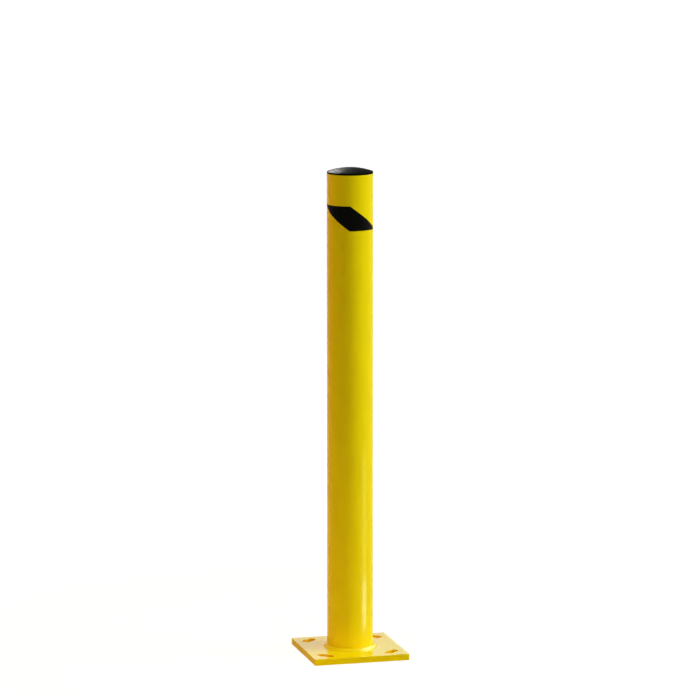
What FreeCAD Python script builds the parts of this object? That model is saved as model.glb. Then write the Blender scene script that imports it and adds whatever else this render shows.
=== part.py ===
import FreeCAD, Part
import math
import os

# A surface-mounted steel bollard, in millimetres and degrees.
# The origin is the centre of the plate's underside, +Z runs up the post,
# and the plate's sides run along X and Y.

# Tube: 4 in pipe, 4 1/2 in outside, sawn square at both ends
tube_diameter = 114.3
tube_wall = 4.8
tube_length = 1189.0
tube_end_break = 0.5

# Base plate: a square of 5/8 in plate with nearly sharp corners
plate_side = 241.3
plate_thickness = 15.9
plate_corner_radius = 1.6
plate_edge_break = 0.8

# Anchor slots: one near each corner, lying square to the plate's diagonal
slot_inset = 36.2
slot_width = 22.2
slot_length = 44.5

# Foot weld: a fillet bead of overlapping ripples, all round the tube
weld_reach = 9.5
weld_rise = 7.0
weld_ripple_radius = 7.0
weld_ripple_pitch = 4.4

# Cap: a moulded plug, with a domed head and a finned skirt that fills the bore
cap_head_inset = 0.3
cap_edge_height = 4.8
cap_edge_break = 0.8
cap_dome_rise = 9.5
cap_head_wall = 3.2
cap_crown_radius = 24.0
cap_skirt_depth = 30.0
cap_skirt_wall = 2.8
cap_skirt_gap = 2.0
cap_lead_in = 1.5
fin_count = 3
fin_pitch = 8.0
fin_height = 3.2
fin_clearance = 0.1

# Tape: two strips of 50 mm tape laid aslant round the tube, half a turn
# apart, and trimmed level at the top and the bottom
tape_width = 50.0
tape_thickness = 0.25
tape_drop = 75.6
tape_height = 61.0
tape_slant = 36.4
tape_front_bearing = -105.0

# Where the pieces meet
tube_radius = tube_diameter / 2
bore_radius = tube_radius - tube_wall
tube_foot = plate_thickness
tube_top = tube_foot + tube_length

centre = FreeCAD.Vector(0, 0, 0)
up = FreeCAD.Vector(0, 0, 1)


def in_section(radius, height):
    """A point of the half section through the post, in the XZ plane."""
    return FreeCAD.Vector(radius, 0, height)


def straight(start, end):
    return Part.LineSegment(start, end).toShape()


def bent(start, middle, end):
    return Part.Arc(start, middle, end).toShape()


def turned(edges):
    """The solid that a closed half section makes round the post's axis."""
    return Part.Face(Part.Wire(edges)).revolve(centre, up, 360)


def closed(points):
    return Part.makePolygon(points + points[:1])


def edges_at_height(solid, height):
    level = []
    for edge in solid.Edges:
        box = edge.BoundBox
        if max(abs(box.ZMin - height), abs(box.ZMax - height)) < 1e-6:
            level.append(edge)
    return level


def make_post_tube():
    foot = up * tube_foot
    outside = Part.makeCylinder(tube_radius, tube_length, foot)
    bore = Part.makeCylinder(bore_radius, tube_length, foot)
    tube = outside.cut(bore)
    return tube.makeChamfer(tube_end_break, edges_at_height(tube, tube_top))


def slot_outline(x, y, bearing):
    """A round-ended slot centred at x, y, with its long axis at this bearing from +X."""
    end_radius = slot_width / 2
    reach = slot_length / 2 - end_radius
    low_left = FreeCAD.Vector(-reach, -end_radius, 0)
    low_right = FreeCAD.Vector(reach, -end_radius, 0)
    high_right = FreeCAD.Vector(reach, end_radius, 0)
    high_left = FreeCAD.Vector(-reach, end_radius, 0)
    tip = FreeCAD.Vector(slot_length / 2, 0, 0)
    outline = Part.Wire(
        [
            straight(low_left, low_right),
            bent(low_right, tip, high_right),
            straight(high_right, high_left),
            bent(high_left, -tip, low_left),
        ]
    )
    outline.rotate(centre, up, bearing)
    outline.translate(FreeCAD.Vector(x, y, 0))
    return outline


def make_base_plate():
    through = up * plate_thickness
    half = plate_side / 2
    corners = [(-half, -half), (half, -half), (half, half), (-half, half)]
    square = closed([FreeCAD.Vector(x, y, 0) for x, y in corners])
    plate = Part.Face(square).extrude(through)
    uprights = [edge for edge in plate.Edges if edge.BoundBox.ZLength > plate_thickness / 2]
    plate = plate.makeFillet(plate_corner_radius, uprights)
    offset = half - slot_inset
    for side_x in (-1, 1):
        for side_y in (-1, 1):
            bearing = -45 * side_x * side_y
            outline = slot_outline(side_x * offset, side_y * offset, bearing)
            plate = plate.cut(Part.Face(outline).extrude(through))
    rims = edges_at_height(plate, 0) + edges_at_height(plate, plate_thickness)
    return plate.makeChamfer(plate_edge_break, rims)


def weld_ripple(angle):
    """One ripple of the bead, cut to the corner and to its own wedge of the ring.

    The bead's face slopes straight from toe to toe, and each ripple is a drum
    that lies across it, so the face swells along the bead.
    """
    corner = in_section(tube_radius, plate_thickness)
    face_width = math.hypot(weld_reach, weld_rise)
    outward = in_section(weld_rise, weld_reach) / face_width
    across = in_section(weld_reach, -weld_rise) / face_width
    throat = weld_reach * weld_rise / face_width
    drum_end = corner + outward * (throat - weld_ripple_radius) - across * face_width
    drum = Part.makeCylinder(weld_ripple_radius, 2 * face_width, drum_end, across)
    block = 2 * max(weld_reach, weld_rise)
    sides = [(0, 0), (block, 0), (block, block), (0, block)]
    section = closed([corner + in_section(*side) for side in sides])
    wedge = Part.Face(section).revolve(centre, up, angle)
    wedge.rotate(centre, up, -angle / 2)
    return wedge.common(drum)


def make_foot_weld():
    bead_length = 2 * math.pi * (tube_radius + weld_reach / 2)
    ripple_count = round(bead_length / weld_ripple_pitch)
    angle = 360.0 / ripple_count
    first = weld_ripple(angle)
    others = []
    for index in range(1, ripple_count):
        ripple = first.copy()
        ripple.rotate(centre, up, index * angle)
        others.append(ripple)
    return first.multiFuse(others).removeSplitter()


def skirt_outside(skirt_radius, fin_radius):
    """The skirt's outer line, from the head down, with a barb at each fin."""
    points = [in_section(skirt_radius, tube_top)]
    for index in range(fin_count):
        lip = tube_top - (index + 1) * fin_pitch + fin_height
        points += [
            in_section(skirt_radius, lip),
            in_section(fin_radius, lip),
            in_section(skirt_radius, lip - fin_height),
        ]
    foot = tube_top - cap_skirt_depth
    points.append(in_section(skirt_radius, foot + cap_lead_in))
    points.append(in_section(skirt_radius - cap_lead_in, foot))
    return points


def make_tube_cap():
    head_radius = tube_radius - cap_head_inset
    skirt_radius = bore_radius - cap_skirt_gap
    inner_radius = skirt_radius - cap_skirt_wall
    edge_top = tube_top + cap_edge_height
    dome_foot = head_radius - cap_edge_break
    dome_radius = (dome_foot**2 + cap_dome_rise**2) / (2 * cap_dome_rise)
    dome_centre = up * (edge_top + cap_dome_rise - dome_radius)

    def under_dome(radius):
        depth = dome_radius - math.sqrt(dome_radius**2 - radius**2)
        return in_section(radius, edge_top + cap_dome_rise - depth - cap_head_wall)

    # The broken edge runs on inwards as a cone, which the dome's ball trims
    line = [
        in_section(0, edge_top - cap_edge_break + head_radius),
        in_section(head_radius, edge_top - cap_edge_break),
        in_section(head_radius, tube_top),
    ]
    line += skirt_outside(skirt_radius, bore_radius - fin_clearance)
    line += [
        in_section(inner_radius, tube_top - cap_skirt_depth),
        under_dome(inner_radius),
        under_dome(cap_crown_radius),
        in_section(0, under_dome(cap_crown_radius).z),
    ]
    plug = turned(closed(line).Edges)
    ball = Part.makeSphere(dome_radius, dome_centre, FreeCAD.Vector(1, 0, 0), -90, 90, 360)
    return plug.common(ball)


def make_tape(bearing):
    """A slanting strip, drawn on the unrolled tube and wrapped round it."""
    slant = math.radians(tape_slant)
    half_cut = tape_width / math.sin(slant) / tube_radius / 2
    half_shift = tape_height / math.tan(slant) / tube_radius / 2
    top = tube_top - tape_drop
    bottom = top - tape_height
    corners = [
        (math.pi - half_shift - half_cut, top),
        (math.pi - half_shift + half_cut, top),
        (math.pi + half_shift + half_cut, bottom),
        (math.pi + half_shift - half_cut, bottom),
    ]
    surface = Part.Cylinder()
    surface.Radius = tube_radius
    unrolled = [FreeCAD.Base.Vector2d(turn, height) for turn, height in corners]
    outline = []
    for start, end in zip(unrolled, unrolled[1:] + unrolled[:1]):
        outline.append(Part.Geom2d.Line2dSegment(start, end).toShape(surface))
    patch = Part.Face(surface, Part.Wire(outline))
    tape = patch.makeOffsetShape(tape_thickness, 1e-3, fill=True)
    tape.rotate(centre, up, bearing - 180)
    return tape


def make_front_tape():
    return make_tape(tape_front_bearing)


def make_back_tape():
    return make_tape(tape_front_bearing + 180)


pieces = {
    "post_tube": make_post_tube,
    "base_plate": make_base_plate,
    "foot_weld": make_foot_weld,
    "tube_cap": make_tube_cap,
    "front_tape": make_front_tape,
    "back_tape": make_back_tape,
}

os.makedirs("parts", exist_ok=True)
for node, make in pieces.items():
    solid = make().Solids[0]
    solid.exportStep("parts/" + node + ".step")
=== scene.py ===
import math
import bmesh
import bpy
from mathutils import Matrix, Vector, noise


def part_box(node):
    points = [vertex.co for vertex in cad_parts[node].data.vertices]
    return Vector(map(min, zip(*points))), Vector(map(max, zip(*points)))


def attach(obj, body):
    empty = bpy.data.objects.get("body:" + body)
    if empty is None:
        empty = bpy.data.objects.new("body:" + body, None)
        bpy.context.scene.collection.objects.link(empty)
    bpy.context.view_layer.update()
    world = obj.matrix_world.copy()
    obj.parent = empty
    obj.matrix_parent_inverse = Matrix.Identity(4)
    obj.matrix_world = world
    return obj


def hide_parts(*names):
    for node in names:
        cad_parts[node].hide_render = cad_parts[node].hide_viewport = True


# A bolt-down steel bollard. Sizes are in millimetres unless a name says otherwise,
# and the CAD model loaded here gives every place.
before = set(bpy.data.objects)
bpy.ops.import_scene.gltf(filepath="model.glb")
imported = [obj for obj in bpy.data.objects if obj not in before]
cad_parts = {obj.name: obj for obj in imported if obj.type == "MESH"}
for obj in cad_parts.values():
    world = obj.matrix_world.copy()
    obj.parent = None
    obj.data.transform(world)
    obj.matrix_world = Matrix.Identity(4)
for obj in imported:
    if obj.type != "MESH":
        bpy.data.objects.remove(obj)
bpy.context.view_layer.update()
mm = 0.001


# Colours and nodes

def srgbToLinear(value):
    return value / 12.92 if value <= 0.04045 else ((value + 0.055) / 1.055) ** 2.4


def colour(hexCode):
    parts = [int(hexCode[i:i + 2], 16) / 255 for i in (1, 3, 5)]
    return (*[srgbToLinear(part) for part in parts], 1.0)


def addNode(tree, kind, settings=None, links=None):
    # settings: the node's own properties, and its inputs by name or number
    # links: an input's name or number, and the output that feeds it
    node = tree.nodes.new(kind)
    for key, value in (settings or {}).items():
        if isinstance(key, str) and hasattr(node, key):
            setattr(node, key, value)
        else:
            node.inputs[key].default_value = value
    for key, source in (links or {}).items():
        tree.links.new(source, node.inputs[key])
    return node


# A mix node has inputs of one name for each kind of data, so these go by number
mixFactor, firstColour, secondColour, mixedColour = 0, 6, 7, 2


def blendColours(tree, first, second, factor):
    # each of first and second is a fixed colour or another node's output
    settings, links = {"data_type": "RGBA"}, {mixFactor: factor}
    for socket, shade in ((firstColour, first), (secondColour, second)):
        (settings if isinstance(shade, tuple) else links)[socket] = shade
    return addNode(tree, "ShaderNodeMix", settings, links).outputs[mixedColour]


def startMaterial(name):
    material = bpy.data.materials.new(name)
    material.use_nodes = True
    material.node_tree.nodes.clear()
    return material, material.node_tree


# Safety-yellow polyester powder coat on steel, sprayed dry and baked. It flows into
# a thick, even, glossy skin with a faint orange peel, and takes the edges off steel.
coatLook = {
    "thick": "#fada06",  # where the film is full
    "thin": "#f7d305",  # a shade deeper where less powder landed
    "cutSidePaintedShade": "#f2ce05",  # painted shade: this and the next are deeper tones on the plate's upright cut sides, standing in for the darker light on them
    "thinCutSidePaintedShade": "#efc704",
    "paintedSlotBounce": "#ffcc00",  # painted bounce light: a deeper orange on each slot's wall, standing in for the light that bounces from wall to wall
    "peel": 5.0,  # real peel is 2 to 3 mm across, drawn at 5 mm so that it shows
    "peelDepth": 0.02, "peelStrength": 0.35,
    "cloud": 160.0,  # drift in film thickness from the spray pattern
    "grain": 0.9,  # powder grain that didn't flow out
}


def makePowderCoat(name, shine, smoothest, roughest, thin="thin", thick="thick"):
    material, tree = startMaterial(name)
    place = addNode(tree, "ShaderNodeTexCoord").outputs["Object"]
    peel = addNode(tree, "ShaderNodeTexNoise",
                   {"Scale": 1 / (coatLook["peel"] * mm), "Detail": 1.0, "Roughness": 0.4},
                   {"Vector": place})
    grain = addNode(tree, "ShaderNodeTexNoise",
                    {"Scale": 1 / (coatLook["grain"] * mm), "Detail": 0.0},
                    {"Vector": place})
    cloud = addNode(tree, "ShaderNodeTexNoise",
                    {"Scale": 1 / (coatLook["cloud"] * mm), "Detail": 2.0},
                    {"Vector": place})
    skin = blendColours(tree, colour(coatLook[thin]), colour(coatLook[thick]), cloud.outputs[0])
    # painted bounce light: the slot walls' mask blends in the deeper orange
    paintedBounceMask = addNode(tree, "ShaderNodeAttribute", {"attribute_name": "paintedBounceMask"})
    tone = blendColours(tree, skin, colour(coatLook["paintedSlotBounce"]), paintedBounceMask.outputs["Fac"])
    gloss = addNode(tree, "ShaderNodeMapRange", {"To Min": smoothest, "To Max": roughest},
                    {"Value": grain.outputs[0]})
    waves = addNode(tree, "ShaderNodeBump",
                    {"Strength": coatLook["peelStrength"], "Distance": coatLook["peelDepth"] * mm},
                    {"Height": peel.outputs[0]})
    coat = addNode(tree, "ShaderNodeBsdfPrincipled",
                   {"IOR": 1.5, "Specular IOR Level": shine},
                   {"Base Color": tone, "Roughness": gloss.outputs[0],
                    "Normal": waves.outputs[0]})
    addNode(tree, "ShaderNodeOutputMaterial", None, {"Surface": coat.outputs[0]})
    return material


# EPDM rubber, compression moulded in a blasted tool: near black, a dull fine grain
# that greys where light rakes over it.
rubberLook = {
    "body": "#080707",
    "bloom": "#0c0b0b",  # a faint bloom in patches
    "grain": 1.6,  # blasted tool grain is under 1 mm, drawn coarser so that it shows
    "grainDepth": 0.03,
    "grainStrength": 0.3,
    "patch": 30.0,
    "shine": 0.0006, "smoothest": 0.34, "roughest": 0.42,
}


def makeRubber():
    material, tree = startMaterial("blackEpdmRubberMoulded")
    place = addNode(tree, "ShaderNodeTexCoord").outputs["Object"]
    grain = addNode(tree, "ShaderNodeTexNoise",
                    {"Scale": 1 / (rubberLook["grain"] * mm), "Detail": 2.0},
                    {"Vector": place})
    patch = addNode(tree, "ShaderNodeTexNoise",
                    {"Scale": 1 / (rubberLook["patch"] * mm), "Detail": 3.0},
                    {"Vector": place})
    skin = blendColours(tree, colour(rubberLook["body"]), colour(rubberLook["bloom"]),
                        patch.outputs[0])
    dull = addNode(tree, "ShaderNodeMapRange",
                   {"To Min": rubberLook["smoothest"], "To Max": rubberLook["roughest"]},
                   {"Value": grain.outputs[0]})
    pits = addNode(tree, "ShaderNodeBump",
                   {"Strength": rubberLook["grainStrength"],
                    "Distance": rubberLook["grainDepth"] * mm},
                   {"Height": grain.outputs[0]})
    rubber = addNode(tree, "ShaderNodeBsdfPrincipled",
                     {"IOR": 1.5, "Specular IOR Level": rubberLook["shine"]},
                     {"Base Color": skin, "Roughness": dull.outputs[0],
                      "Normal": pits.outputs[0]})
    addNode(tree, "ShaderNodeOutputMaterial", None, {"Surface": rubber.outputs[0]})
    return material


# Calendered PVC tape: a thin black film, smoother than the rubber, that shows the
# coat's peel faintly through itself.
tapeLook = {
    "film": "#070707",
    "calender": 1.2,  # roller grain, drawn coarser than it is
    "through": 6.0,
    "depth": 0.015, "strength": 0.3,
    "shine": 0.02, "smoothest": 0.3, "roughest": 0.4,
}


def makeTapeFilm():
    material, tree = startMaterial("blackPvcTapeCalendered")
    place = addNode(tree, "ShaderNodeTexCoord").outputs["Object"]
    roller = addNode(tree, "ShaderNodeTexNoise",
                     {"Scale": 1 / (tapeLook["calender"] * mm), "Detail": 1.0},
                     {"Vector": place})
    through = addNode(tree, "ShaderNodeTexNoise",
                      {"Scale": 1 / (tapeLook["through"] * mm), "Detail": 1.0},
                      {"Vector": place})
    gloss = addNode(tree, "ShaderNodeMapRange",
                    {"To Min": tapeLook["smoothest"], "To Max": tapeLook["roughest"]},
                    {"Value": roller.outputs[0]})
    waves = addNode(tree, "ShaderNodeBump",
                    {"Strength": tapeLook["strength"], "Distance": tapeLook["depth"] * mm},
                    {"Height": through.outputs[0]})
    film = addNode(tree, "ShaderNodeBsdfPrincipled",
                   {"Base Color": colour(tapeLook["film"]), "IOR": 1.5,
                    "Specular IOR Level": tapeLook["shine"]},
                   {"Roughness": gloss.outputs[0], "Normal": waves.outputs[0]})
    addNode(tree, "ShaderNodeOutputMaterial", None, {"Surface": film.outputs[0]})
    return material


tubeCoat = makePowderCoat("safetyYellowPowderCoatOnTube",
                          shine=0.03, smoothest=0.17, roughest=0.25)
plateCoat = makePowderCoat("safetyYellowPowderCoatOnPlate",  # lies level, so it flows out flat
                           shine=0.5, smoothest=0.06, roughest=0.12)
# Its deeper tones are painted shade on the plate's upright sides, and its gloss is duller.
sideCoatWithPaintedShade = makePowderCoat("safetyYellowPowderCoatPaintedShadeOnCutSides",  # follows the rough cut
                          shine=0.01, smoothest=0.35, roughest=0.45,
                          thin="thinCutSidePaintedShade", thick="cutSidePaintedShade")
weldCoat = makePowderCoat("safetyYellowPowderCoatOverWeld",  # dull on the ripples
                          shine=0.03, smoothest=0.2, roughest=0.3)
rubber = makeRubber()
tapeFilm = makeTapeFilm()
print("finishes made")


# Meshes

def makePiece(name, points, faces, material, node, sharpAngle=35):
    mesh = bpy.data.meshes.new(name)
    mesh.from_pydata([Vector(p) * mm for p in points], [], faces)
    mesh.validate()
    dressPiece(name, mesh, material, node, sharpAngle)


def dressPiece(name, mesh, material, node, sharpAngle):
    mesh.shade_smooth()
    mesh.set_sharp_from_angle(angle=math.radians(sharpAngle))
    piece = bpy.data.objects.new(name, mesh)
    bpy.context.scene.collection.objects.link(piece)
    mesh.materials.clear()
    mesh.materials.append(material)
    normals = piece.modifiers.new("faceNormals", "WEIGHTED_NORMAL")
    normals.keep_sharp = True
    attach(piece, "root")
    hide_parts(node)
    print(name, "made:", len(mesh.polygons), "faces")


def turnSection(section, segments):
    # the solid that a closed section of (radius, height) points makes round the post
    points, rings, faces = [], [], []
    for radius, height in section:
        if radius < 1e-6:
            rings.append([len(points)] * segments)
            points.append((0, 0, height))
            continue
        rings.append(range(len(points), len(points) + segments))
        for step in range(segments):
            turn = 2 * math.pi * step / segments
            points.append((radius * math.cos(turn), radius * math.sin(turn), height))
    for low, high in zip(rings, rings[1:] + rings[:1]):
        for step in range(segments):
            after = (step + 1) % segments
            corners = [low[step], low[after], high[after], high[step]]
            face = list(dict.fromkeys(corners))
            if len(face) > 2:
                faces.append(face)
    return points, faces


def roundOver(centre, radius, start, end, steps):
    # points on an arc, from one angle to another, in degrees
    arc = []
    for step in range(steps + 1):
        angle = math.radians(start + (end - start) * step / steps)
        arc.append((centre[0] + radius * math.cos(angle), centre[1] + radius * math.sin(angle)))
    return arc


# Tube: 4 in pipe, sawn square, with its top edge broken and softened by the coat
tubeSize = {
    "radius": 57.15, "wall": 4.8, "foot": 15.9, "top": 1204.9, "edge": 0.5, "edgeSteps": 4,
    "segments": 192, "bands": 8,
}


def makeTube():
    s = tubeSize
    bore = s["radius"] - s["wall"]
    edgeHeight = s["top"] - s["edge"]
    section = [(s["radius"], s["foot"] + (edgeHeight - s["foot"]) * band / s["bands"])
               for band in range(s["bands"])]
    section += roundOver((s["radius"] - s["edge"], edgeHeight), s["edge"], 0, 90, s["edgeSteps"])
    section += roundOver((bore + s["edge"], edgeHeight), s["edge"], 90, 180, s["edgeSteps"])
    section += [(bore, s["foot"])]
    points, faces = turnSection(section, s["segments"])
    makePiece("postTube", points, faces, tubeCoat, "post_tube")


# Base plate: laser-cut square with four slots that lie square to its diagonals
plateSize = {
    "side": 241.3, "thickness": 15.9, "edge": 0.8, "edgeSteps": 3,
    "cornerRadius": 1.6, "cornerSteps": 4,
    "slotInset": 36.2, "slotWidth": 22.2, "slotLength": 44.5, "slotSteps": 20,
    "joinWithin": 0.01,
}


def plateOutline():
    s = plateSize
    reach = s["side"] / 2 - s["cornerRadius"]
    outline = []
    for quarter, (sideX, sideY) in enumerate([(1, 1), (-1, 1), (-1, -1), (1, -1)]):
        outline += roundOver((sideX * reach, sideY * reach), s["cornerRadius"],
                             90 * quarter, 90 * quarter + 90, s["cornerSteps"])
    return outline


def slotOutline(sideX, sideY):
    s = plateSize
    radius = s["slotWidth"] / 2
    reach = s["slotLength"] / 2 - radius
    offset = s["side"] / 2 - s["slotInset"]
    lie = math.radians(-45 * sideX * sideY)
    flat = roundOver((reach, 0), radius, -90, 90, s["slotSteps"])
    flat += roundOver((-reach, 0), radius, 90, 270, s["slotSteps"])
    return [(sideX * offset + x * math.cos(lie) - y * math.sin(lie),
             sideY * offset + x * math.sin(lie) + y * math.cos(lie)) for x, y in flat]


def makePlate():
    s = plateSize
    blank = bpy.data.curves.new("plateBlank", "CURVE")
    blank.dimensions = "2D"
    blank.fill_mode = "BOTH"
    blank.extrude = (s["thickness"] / 2 - s["edge"]) * mm
    blank.bevel_depth = s["edge"] * mm
    blank.bevel_resolution = s["edgeSteps"]
    blank.offset = -s["edge"] * mm
    outlines = [plateOutline()]
    outlines += [slotOutline(sideX, sideY) for sideX in (-1, 1) for sideY in (-1, 1)]
    for outline in outlines:
        spline = blank.splines.new("POLY")
        spline.points.add(len(outline) - 1)
        for point, (x, y) in zip(spline.points, outline):
            point.co = (x * mm, y * mm, 0, 1)
        spline.use_cyclic_u = True
    blankObject = bpy.data.objects.new("plateBlank", blank)
    bpy.context.scene.collection.objects.link(blankObject)
    bpy.context.view_layer.update()
    shaped = blankObject.evaluated_get(bpy.context.evaluated_depsgraph_get())
    mesh = bpy.data.meshes.new_from_object(shaped)
    bpy.data.objects.remove(blankObject)
    for vertex in mesh.vertices:
        vertex.co.z += s["thickness"] / 2 * mm
    weldDoubles(mesh)
    markSlotPaintedBounce(mesh)
    dressPiece("basePlate", mesh, plateCoat, "base_plate", sharpAngle=60)
    paintShadeOnCutSides(mesh)


def isUpright(face):
    return abs(face.normal.z) < 0.5


# painted shade: the plate's upright cut sides take the deeper-toned coat
def paintShadeOnCutSides(mesh):
    rim = (plateSize["side"] / 2 - plateSize["edge"]) * mm
    mesh.materials.append(sideCoatWithPaintedShade)
    for face in mesh.polygons:
        if isUpright(face) and max(abs(face.center.x), abs(face.center.y)) > rim:
            face.material_index = 1


def markSlotPaintedBounce(mesh):
    # 1 on each slot's wall, 0 elsewhere, where the coat takes its painted bounce light
    s = plateSize
    offset = (s["side"] / 2 - s["slotInset"]) * mm
    reach = (s["slotLength"] / 2 + s["edge"]) * mm
    paintedBounceMask = mesh.attributes.new("paintedBounceMask", "FLOAT", "FACE")
    for face in mesh.polygons:
        away = math.hypot(abs(face.center.x) - offset, abs(face.center.y) - offset)
        paintedBounceMask.data[face.index].value = float(away < reach and isUpright(face))


def weldDoubles(mesh):
    work = bmesh.new()
    work.from_mesh(mesh)
    bmesh.ops.remove_doubles(work, verts=work.verts, dist=plateSize["joinWithin"] * mm)
    bmesh.ops.recalc_face_normals(work, faces=work.faces)
    work.to_mesh(mesh)
    work.free()


# Foot weld: one fillet bead laid round by hand, with its ripples softened by the coat
weldSize = {
    "radius": 57.15, "foot": 15.9, "reach": 9.5, "rise": 7.0, "crown": 0.75,
    "ripples": 88, "rippleHeight": 0.42, "rippleBow": 0.9, "rippleLean": 0.75, "toeFade": 0.8,
    "stepsPerRipple": 10, "rows": 14,
    "wander": 0.55, "wanderLength": 22.0, "lowSeed": 0.0, "highSeed": 7.3,
    "tieIn": 158, "tieInLength": 9.0, "tieInRise": 0.7,  # where the bead closes on its start
}


def weldSwell(turn, across):
    s = weldSize
    along = s["ripples"] * turn / (2 * math.pi)
    phase = (along - s["rippleBow"] * (1 - (2 * across - 1) ** 2)) % 1.0
    ripple = s["rippleHeight"] * (math.sin(math.pi * phase ** s["rippleLean"]) - 0.5)
    away = (math.degrees(turn) - s["tieIn"] + 180) % 360 - 180
    arc = math.radians(away) * s["radius"]
    tieIn = s["tieInRise"] * math.exp(-(arc / s["tieInLength"]) ** 2)
    return (s["crown"] + ripple + tieIn) * math.sin(math.pi * across) ** s["toeFade"]


def weldToe(turn, leg, seed):
    # how far a toe lies from the corner, as the hand that laid it wandered
    s = weldSize
    lap = s["radius"] / s["wanderLength"]
    drift = noise.noise(Vector((lap * math.cos(turn), lap * math.sin(turn), seed)))
    return leg - s["wander"] * (0.5 + drift)


def makeWeld():
    s = weldSize
    steps = s["ripples"] * s["stepsPerRipple"]
    ring = s["rows"] + 2
    face = math.hypot(s["reach"], s["rise"])
    points, faces = [], []
    for step in range(steps):
        turn = 2 * math.pi * step / steps
        low = weldToe(turn, s["reach"], s["lowSeed"])
        high = weldToe(turn, s["rise"], s["highSeed"])
        section = [(0.0, 0.0)]
        for row in range(s["rows"] + 1):
            across = row / s["rows"]
            swell = weldSwell(turn, across) / face
            section.append((low * (1 - across) + swell * s["rise"],
                            high * across + swell * s["reach"]))
        for out, rise in section:
            radius = s["radius"] + out
            points.append((radius * math.cos(turn), radius * math.sin(turn), s["foot"] + rise))
    for step in range(steps):
        here, after = step * ring, (step + 1) % steps * ring
        for row in range(ring):
            above = (row + 1) % ring
            faces.append([here + row, after + row, after + above, here + above])
    makePiece("footWeld", points, faces, weldCoat, "foot_weld",
              sharpAngle=50)


# Cap: a moulded plug with a low domed head and a barbed skirt in the bore
capSize = {
    "headRadius": 56.85, "seat": 1204.9, "edge": 4.8, "edgeRound": 0.8, "wall": 3.2,
    "skirtRadius": 50.35, "skirtWall": 2.8, "skirtDepth": 30.0, "leadIn": 1.5,
    "fins": 3, "finPitch": 8.0, "finHeight": 3.2, "finRadius": 52.25,
    "domeRings": 22, "underRings": 8, "edgeSteps": 5, "segments": 144,
}


def makeCap():
    s = capSize
    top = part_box("tube_cap")[1].z / mm
    foot = s["headRadius"] - s["edgeRound"]
    edgeTop = s["seat"] + s["edge"]
    rise = top - edgeTop
    ball = (foot ** 2 + rise ** 2) / (2 * rise)

    def onDome(radius, depth):
        return radius, top - depth - (ball - math.sqrt(ball ** 2 - radius ** 2))

    section = [onDome(foot * k / s["domeRings"], 0) for k in range(s["domeRings"] + 1)]
    section += roundOver((foot, edgeTop - s["edgeRound"]), s["edgeRound"], 70, 0, s["edgeSteps"])
    section += [(s["headRadius"], s["seat"]), (s["skirtRadius"], s["seat"])]
    for fin in range(s["fins"]):
        lip = s["seat"] - (fin + 1) * s["finPitch"] + s["finHeight"]
        section += [(s["skirtRadius"], lip), (s["finRadius"], lip),
                    (s["skirtRadius"], lip - s["finHeight"])]
    hem = s["seat"] - s["skirtDepth"]
    inner = s["skirtRadius"] - s["skirtWall"]
    section += [(s["skirtRadius"], hem + s["leadIn"]), (s["skirtRadius"] - s["leadIn"], hem),
                (inner, hem)]
    section += [onDome(inner * k / s["underRings"], s["wall"])
                for k in range(s["underRings"], -1, -1)]
    points, faces = turnSection(section, s["segments"])
    makePiece("tubeCap", points, faces, rubber, "tube_cap", sharpAngle=40)


# Tape: two strips laid aslant, half a turn apart, trimmed level above and below
tapeSize = {
    "radius": 57.15, "thickness": 0.25, "width": 50.0, "slant": 36.4,
    "top": 1129.3, "bottom": 1068.3, "columns": 72, "rows": 28, "pressedEdge": 0.6,
    "bearing": -105,  # the front strip faces the camera
}


def makeTape(name, node, bearing):
    s = tapeSize
    slant = math.radians(s["slant"])
    halfCut = s["width"] / math.sin(slant) / 2
    halfShift = (s["top"] - s["bottom"]) / math.tan(slant) / 2
    columns = [0, s["pressedEdge"] / (2 * halfCut)]
    columns += [k / s["columns"] for k in range(1, s["columns"])] + [1 - columns[1], 1]
    rows = [k / s["rows"] for k in range(s["rows"] + 1)]
    points, faces = [], []
    for skin in (1, 0):
        for down in rows:
            height = s["top"] + (s["bottom"] - s["top"]) * down
            for across in columns:
                arc = halfShift * (2 * down - 1) + halfCut * (2 * across - 1)
                turn = math.radians(bearing) + arc / s["radius"]
                radius = s["radius"] + s["thickness"] * skin
                points.append((radius * math.cos(turn), radius * math.sin(turn), height))
    wide, tall = len(columns), len(rows)
    under = wide * tall
    for row in range(tall - 1):
        for column in range(wide - 1):
            a = row * wide + column
            b, c, d = a + 1, a + 1 + wide, a + wide
            faces.append([d, c, b, a])
            faces.append([under + a, under + b, under + c, under + d])
    rim = list(range(wide))
    rim += [k * wide + wide - 1 for k in range(1, tall)]
    rim += [(tall - 1) * wide + k for k in range(wide - 2, -1, -1)]
    rim += [k * wide for k in range(tall - 2, 0, -1)]
    for a, b in zip(rim, rim[1:] + rim[:1]):
        faces.append([a, b, under + b, under + a])
    makePiece(name, points, faces, tapeFilm, node, sharpAngle=40)


makeTube()
makePlate()
makeWeld()
makeCap()
makeTape("frontTape", "front_tape", tapeSize["bearing"])
makeTape("backTape", "back_tape", tapeSize["bearing"] + 180)
print("pieces made")


# Studio: a pale floor, a white surround and soft boxes

cameraSetup = {
    "place": (-2.478082, -9.383807, 2.340700),  # metres
    "aim": (0.252029, 0.954363, -0.160226),
    "lens": 204.67, "sensor": 36.0, "clip": (0.1, 500),
}


def makeCamera():
    data = bpy.data.cameras.new("camera")
    data.lens = cameraSetup["lens"]
    data.sensor_width = cameraSetup["sensor"]
    data.clip_start, data.clip_end = cameraSetup["clip"]
    camera = bpy.data.objects.new("camera", data)
    bpy.context.scene.collection.objects.link(camera)
    camera.location = cameraSetup["place"]
    camera.rotation_mode = "QUATERNION"
    camera.rotation_quaternion = Vector(cameraSetup["aim"]).to_track_quat("-Z", "Y")
    bpy.context.scene.camera = camera


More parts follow.
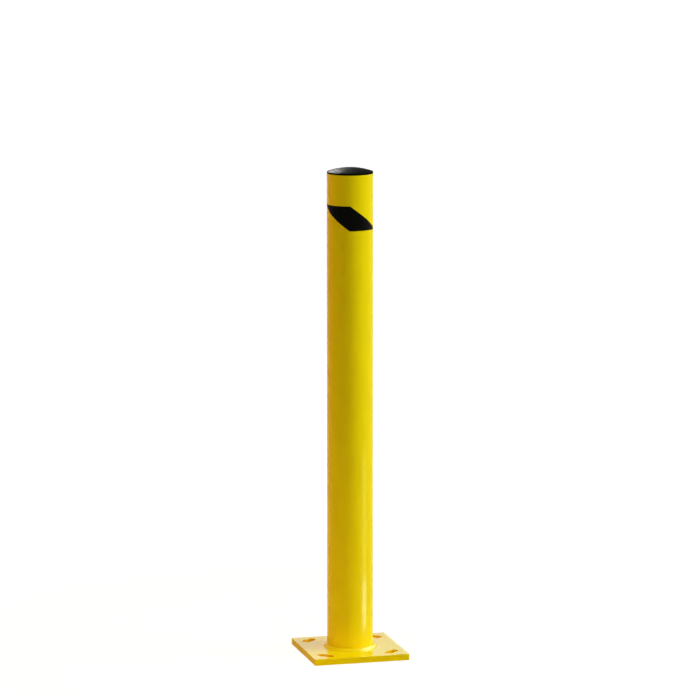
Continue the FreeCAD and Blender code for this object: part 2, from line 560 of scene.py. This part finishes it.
# The camera and what mirrors or passes light see the floor and the surround as white.
# What lights the object is the paper's own colour and the surround's ambient light.
def shownAsWhite(tree):
    path = addNode(tree, "ShaderNodeLightPath").outputs
    mirrored = addNode(tree, "ShaderNodeMath", {"operation": "MAXIMUM"},
                       {0: path["Is Glossy Ray"], 1: path["Is Transmission Ray"]})
    shown = addNode(tree, "ShaderNodeMath", {"operation": "MAXIMUM"},
                    {0: path["Is Camera Ray"], 1: mirrored.outputs[0]})
    return shown.outputs[0]


# Matt white paper that keeps a faint shadow. Sizes are in metres.
floorLook = {
    "size": 240.0, "drop": 0.0001, "paper": "#f2f2f2",
    "shadowed": 0.2,  # the share of the white that lamps light, so that a shadow shows in it
    "glowNear": 0.88, "glowFar": 1.02, "nearRadius": 0.8, "farRadius": 2.6,
}


def makeFloor():
    s = floorLook
    half = s["size"] / 2
    mesh = bpy.data.meshes.new("floor")
    corners = [(-half, -half), (half, -half), (half, half), (-half, half)]
    mesh.from_pydata([(x, y, -s["drop"]) for x, y in corners], [], [(0, 1, 2, 3)])
    floor = bpy.data.objects.new("floor", mesh)
    bpy.context.scene.collection.objects.link(floor)
    material, tree = startMaterial("whitePaperFloor")
    place = addNode(tree, "ShaderNodeTexCoord").outputs["Object"]
    away = addNode(tree, "ShaderNodeVectorMath", {"operation": "LENGTH"}, {0: place}).outputs[1]
    glow = addNode(tree, "ShaderNodeMapRange",
                   {"interpolation_type": "SMOOTHSTEP",
                    "From Min": s["nearRadius"], "From Max": s["farRadius"],
                    "To Min": s["glowNear"], "To Max": s["glowFar"]}, {"Value": away})
    paper = addNode(tree, "ShaderNodeBsdfDiffuse", {"Color": colour(s["paper"])})
    faint = addNode(tree, "ShaderNodeBsdfDiffuse", {"Color": (*[s["shadowed"]] * 3, 1)})
    light = addNode(tree, "ShaderNodeEmission", None, {"Strength": glow.outputs[0]})
    white = addNode(tree, "ShaderNodeAddShader", None, {0: faint.outputs[0], 1: light.outputs[0]})
    both = addNode(tree, "ShaderNodeMixShader", None,
                   {0: shownAsWhite(tree), 1: paper.outputs[0], 2: white.outputs[0]})
    addNode(tree, "ShaderNodeOutputMaterial", None, {"Surface": both.outputs[0]})
    mesh.materials.append(material)


worldLook = {"ambient": "#ffaa72", "strength": 0.103}


def makeWorld():
    world = bpy.data.worlds.new("whiteSurround")
    bpy.context.scene.world = world
    world.use_nodes = True
    tree = world.node_tree
    tree.nodes.clear()
    ambient = addNode(tree, "ShaderNodeBackground",
                      {"Color": colour(worldLook["ambient"]), "Strength": worldLook["strength"]})
    white = addNode(tree, "ShaderNodeBackground", {"Color": (1, 1, 1, 1), "Strength": 1.0})
    both = addNode(tree, "ShaderNodeMixShader", None,
                   {0: shownAsWhite(tree), 1: ambient.outputs[0], 2: white.outputs[0]})
    addNode(tree, "ShaderNodeOutputWorld", None, {"Surface": both.outputs[0]})


# Each lamp: bearing round the post from the camera (right is positive) and height angle
# in degrees, then distance, size and the height of its aim in metres, and power in watts.
# Body lamps only light the colours. Gloss lamps only show in the gloss, as a studio's
# small reflectors do, and the ones that show in a dull finish are strong for it.
lamps = {
    "keyBox": {"bearing": 84, "rise": 25, "away": 7.0, "size": (2.8, 2.6), "aim": 0.35,
               "power": 374, "tint": "#dcf0cb"},
    "fillBox": {"bearing": -95, "rise": 30, "away": 6.0, "size": (2.4, 2.2), "aim": 0.35,
                "power": 42.5, "tint": "#ffa47c"},
    "rimBox": {"bearing": -125, "rise": 25, "away": 6.0, "size": (2.4, 2.2), "aim": 0.35,
               "power": 68, "tint": "#ffbd8a"},
    "topBox": {"bearing": 0, "rise": 85, "away": 4.0, "size": (1.6, 1.5), "aim": 0.35,
               "power": 101, "tint": "#e0ffe0"},
    "footCard": {"bearing": -15, "rise": 8, "away": 0.6, "size": (0.4, 0.12), "aim": 0.05,
                 "power": 0.33, "tint": "#ffcba0", "shows": "body"},
    "plateBounce": {"bearing": -12, "rise": -85, "away": 1.0, "size": (0.14, 0.04), "aim": 1.016,
                    "power": 0.0085, "tint": "#e7ffe0", "shows": "body"},
    "weldGlint": {"bearing": 128, "rise": 45, "away": 4.0, "size": (1.6, 1.2), "aim": 0.05,
                  "power": 850, "tint": "#ffffff", "shows": "gloss"},
    "capSpot": {"bearing": -171, "rise": 24, "away": 2.5, "size": 0.2, "aim": 1.21,
                "power": 2300, "tint": "#ffffff", "cone": 5.0, "shows": "gloss"},
    "streakCard": {"bearing": 68.5, "rise": 0, "away": 0.26, "size": (0.1, 0.12), "aim": 0.08,
                   "power": 1.8, "tint": "#ffffff", "shows": "gloss"},
    "streakFade": {"bearing": 68.5, "rise": 0, "away": 0.26, "size": (0.1, 0.33), "aim": 0.31,
                   "power": 1.25, "tint": "#ffffff", "shows": "gloss"},
}


def makeLamps():
    back = Vector((cameraSetup["aim"][0], cameraSetup["aim"][1], 0)).normalized()
    right = Vector((back.y, -back.x, 0))
    for name, lamp in lamps.items():
        if "cone" in lamp:
            data = bpy.data.lights.new(name, "SPOT")
            data.spot_size = math.radians(lamp["cone"])
            data.shadow_soft_size = lamp["size"]
        else:
            data = bpy.data.lights.new(name, "AREA")
            data.shape = "RECTANGLE"
            data.size, data.size_y = lamp["size"]
        data.energy = lamp["power"]
        data.color = colour(lamp["tint"])[:3]
        box = bpy.data.objects.new(name, data)
        bpy.context.scene.collection.objects.link(box)
        bearing, rise = math.radians(lamp["bearing"]), math.radians(lamp["rise"])
        level = right * math.sin(bearing) - back * math.cos(bearing)
        way = level * math.cos(rise) + Vector((0, 0, math.sin(rise)))
        box.location = Vector((0, 0, lamp["aim"])) + way * lamp["away"]
        box.rotation_mode = "QUATERNION"
        box.rotation_quaternion = (-way).to_track_quat("-Z", "Y")
        box.visible_camera = False
        box.visible_diffuse = lamp.get("shows") != "gloss"
        box.visible_glossy = lamp.get("shows") != "body"


makeCamera()
makeFloor()
makeWorld()
makeLamps()
bpy.context.scene.view_settings.view_transform = "Standard"
print("studio set")
